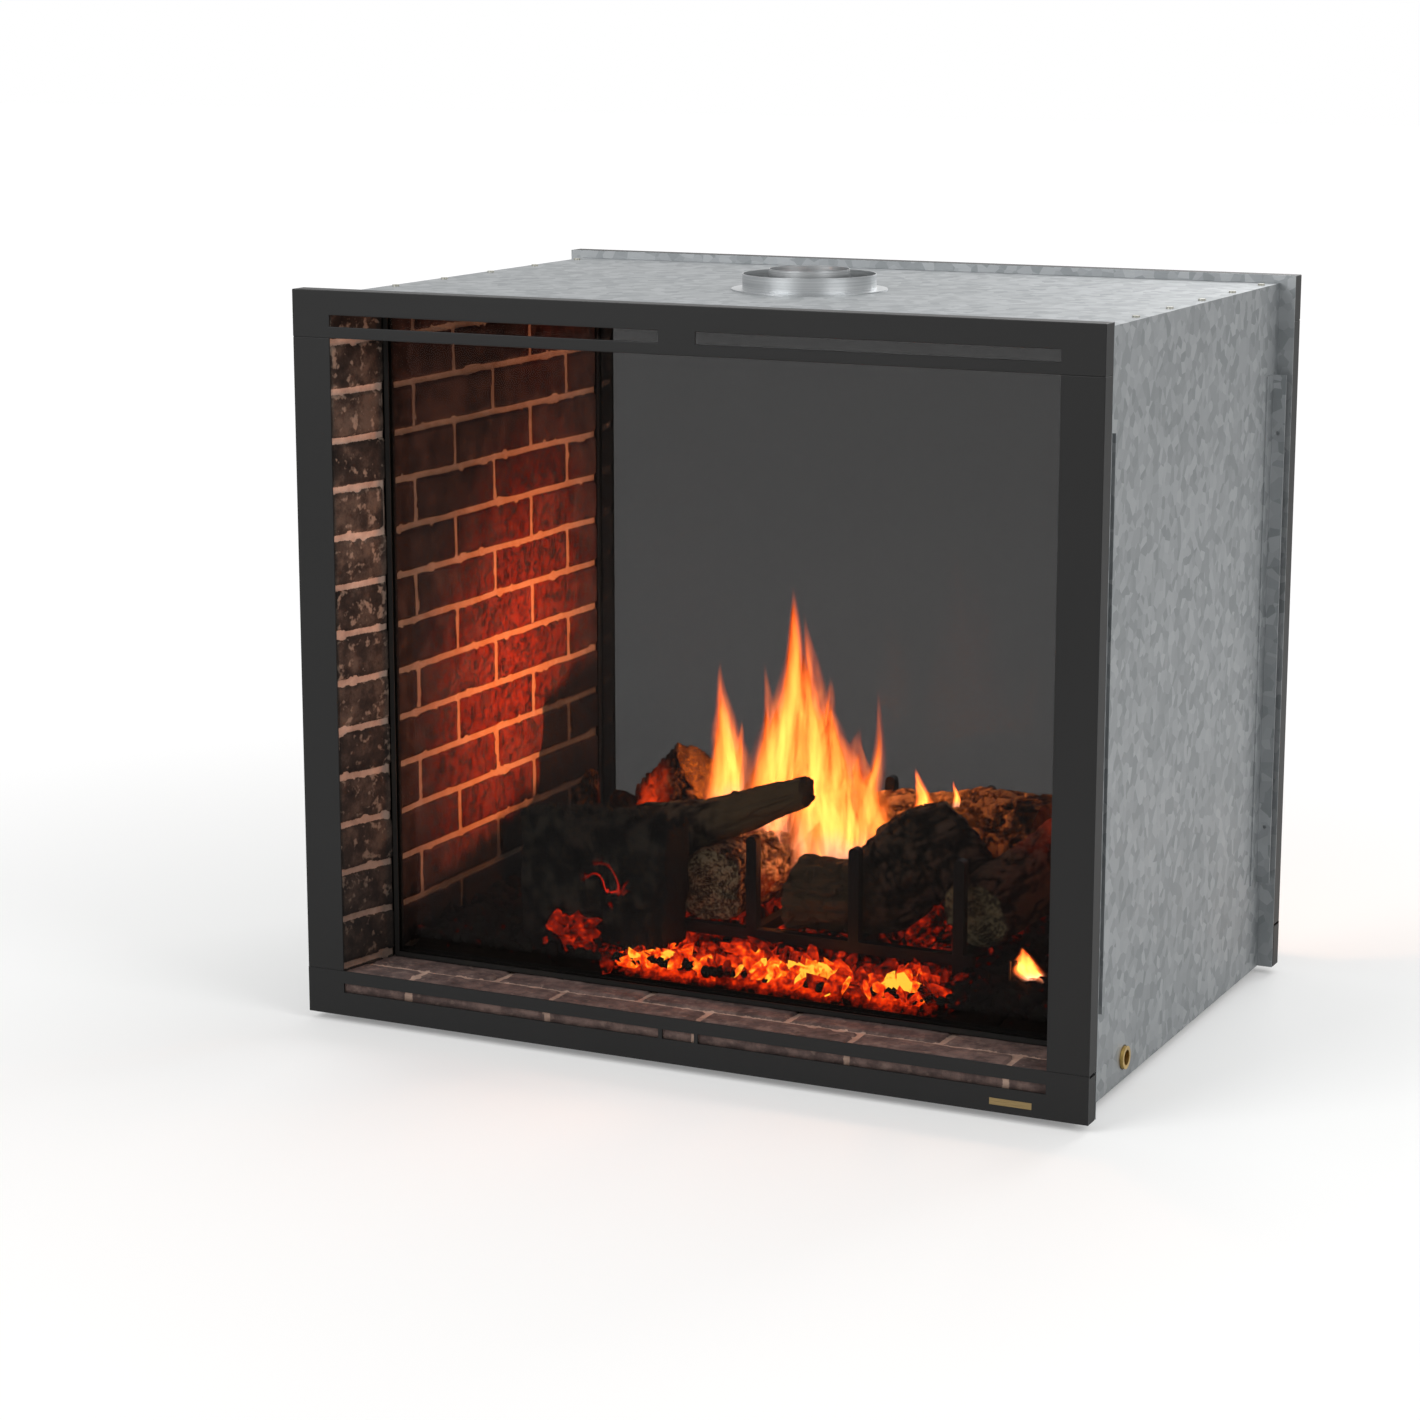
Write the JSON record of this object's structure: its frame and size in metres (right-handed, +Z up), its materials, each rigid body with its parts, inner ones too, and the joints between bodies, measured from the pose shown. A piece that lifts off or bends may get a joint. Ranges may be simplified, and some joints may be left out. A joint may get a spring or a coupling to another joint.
{
  "type": "double-sided gas fireplace",
  "caption": "See-through gas fireplace with framed glass on both faces, brick-lined firebox, log set on a grate, vent collars, gas controls and drop-down sill panels.",
  "frame": {"origin": "centre of the footprint, at the level of the feet", "axes": "+X along the width to the right seen from the front, +Y from the front face to the rear face, +Z up"},
  "size_m": [1.046, 0.75, 0.941],
  "materials": {
    "charcoal_paint": "satin charcoal powder coat on folded sheet steel",
    "bronze_plate": "bronze-toned satin plate, left blank",
    "galvanised_sheet": "galvanised sheet steel with a faint spangle",
    "zinc_steel": "zinc-plated pressed steel",
    "vent_metal": "bright spun vent collar",
    "heat_paint": "matt black heat-resistant paint",
    "firebrick": "sooty dark red refractory brick with pale mortar",
    "clear_glass": "clear ceramic glass with a slight smoke tint",
    "rope_gasket": "flat black fibreglass rope",
    "cast_grate": "black cast iron",
    "ceramic_log": "painted refractory log with charred bark",
    "ember_mix": "mineral-fibre embers and crushed rock",
    "burner_steel": "aluminised steel",
    "valve_casting": "die-cast aluminium",
    "brass_fitting": "machined brass",
    "black_plastic": "moulded black plastic",
    "lever_paint": "red enamel on pressed steel"
  },
  "bodies": {
    "root": {"back_right_log": "ceramic_log", "base_pan": "galvanised_sheet", "branch_log": "ceramic_log", "burner_tray": "heat_paint", "burner_tube": "burner_steel", "casing_screws": "zinc_steel", "casing_top": "galvanised_sheet", "control_bracket": "zinc_steel", "cross_log": "ceramic_log", "ember_bed": "ember_mix", "firebox_ceiling": "heat_paint", "firebox_floor": "heat_paint", "firebox_left_wall": "heat_paint", "firebox_right_wall": "heat_paint", "front_header_trim": "charcoal_paint", "front_hearth_bricks": "firebrick", "front_left_brick_return": "firebrick", "front_left_log": "ceramic_log", "front_left_stile": "charcoal_paint", "front_right_brick_return": "firebrick", "front_right_log": "ceramic_log", "front_right_stile": "charcoal_paint", "gas_supply_line": "brass_fitting", "gas_valve": "valve_casting", "glass_gaskets": "rope_gasket", "glass_hinge_ears": "zinc_steel", "igniter_barrel": "zinc_steel", "inner_vent_collar": "vent_metal", "left_brick_panel": "firebrick", "left_casing_side": "galvanised_sheet", "log_grate": "cast_grate", "nailing_flanges": "galvanised_sheet", "outer_vent_collar": "vent_metal", "pilot_assembly": "burner_steel", "rear_header_trim": "charcoal_paint", "rear_hearth_bricks": "firebrick", "rear_left_brick_return": "firebrick", "rear_left_stile": "charcoal_paint", "rear_right_brick_return": "firebrick", "rear_right_stile": "charcoal_paint", "right_bark_log": "ceramic_log", "right_brick_panel": "firebrick", "right_casing_side": "galvanised_sheet", "shutoff_valve": "brass_fitting", "sill_hinge_ears": "zinc_steel", "split_log": "ceramic_log", "wedge_log": "ceramic_log"},
    "front_glass": {"front_glass_frame": "heat_paint", "front_glass_pane": "clear_glass"},
    "rear_glass": {"rear_glass_frame": "heat_paint", "rear_glass_pane": "clear_glass"},
    "front_sill": {"front_sill_panel": "charcoal_paint", "badge_plate": "bronze_plate"},
    "rear_sill": {"rear_sill_panel": "charcoal_paint"},
    "control_knob": {"control_knob": "black_plastic"},
    "flame_knob": {"flame_knob": "black_plastic"},
    "igniter_button": {"igniter_button": "black_plastic"},
    "shutoff_lever": {"shutoff_lever": "lever_paint"},
    "air_shutter": {"air_shutter": "burner_steel"},
    "flue_restrictor": {"flue_restrictor": "heat_paint"}
  },
  "joints": [
    {"name": "front_glass_tilt", "type": "hinge", "parent": "root", "child": "front_glass", "pos_m": [0, -0.281, 0.892], "axis": [-1, 0, 0], "range_deg": [0, 25]},
    {"name": "rear_glass_tilt", "type": "hinge", "parent": "root", "child": "rear_glass", "pos_m": [0, 0.281, 0.892], "axis": [1, 0, 0], "range_deg": [0, 25]},
    {"name": "front_sill_drop", "type": "hinge", "parent": "root", "child": "front_sill", "pos_m": [0, -0.367, 0.016], "axis": [1, 0, 0], "range_deg": [0, 90]},
    {"name": "rear_sill_drop", "type": "hinge", "parent": "root", "child": "rear_sill", "pos_m": [0, 0.367, 0.016], "axis": [-1, 0, 0], "range_deg": [0, 90]},
    {"name": "control_knob_turn", "type": "hinge", "parent": "root", "child": "control_knob", "pos_m": [0.27, -0.34, 0.023], "axis": [0, 1, 0], "range_deg": [0, 180]},
    {"name": "flame_knob_turn", "type": "hinge", "parent": "root", "child": "flame_knob", "pos_m": [0.32, -0.34, 0.023], "axis": [0, 1, 0], "range_deg": [0, 135]},
    {"name": "igniter_press", "type": "slide", "parent": "root", "child": "igniter_button", "axis": [0, 1, 0], "range_m": [0, 0.004], "stiffness_N_per_m": 500, "springref_m": -0.002},
    {"name": "shutoff_turn", "type": "hinge", "parent": "root", "child": "shutoff_lever", "pos_m": [0.45233, -0.214, 0.038], "axis": [0, 1, 0], "range_deg": [0, 90]},
    {"name": "air_shutter_turn", "type": "hinge", "parent": "root", "child": "air_shutter", "pos_m": [0.2, 0, 0.038], "axis": [1, 0, 0], "range_deg": [0, 60]},
    {"name": "restrictor_slide", "type": "slide", "parent": "root", "child": "flue_restrictor", "axis": [-1, 0, 0], "range_m": [0, 0.06]}
  ]
}
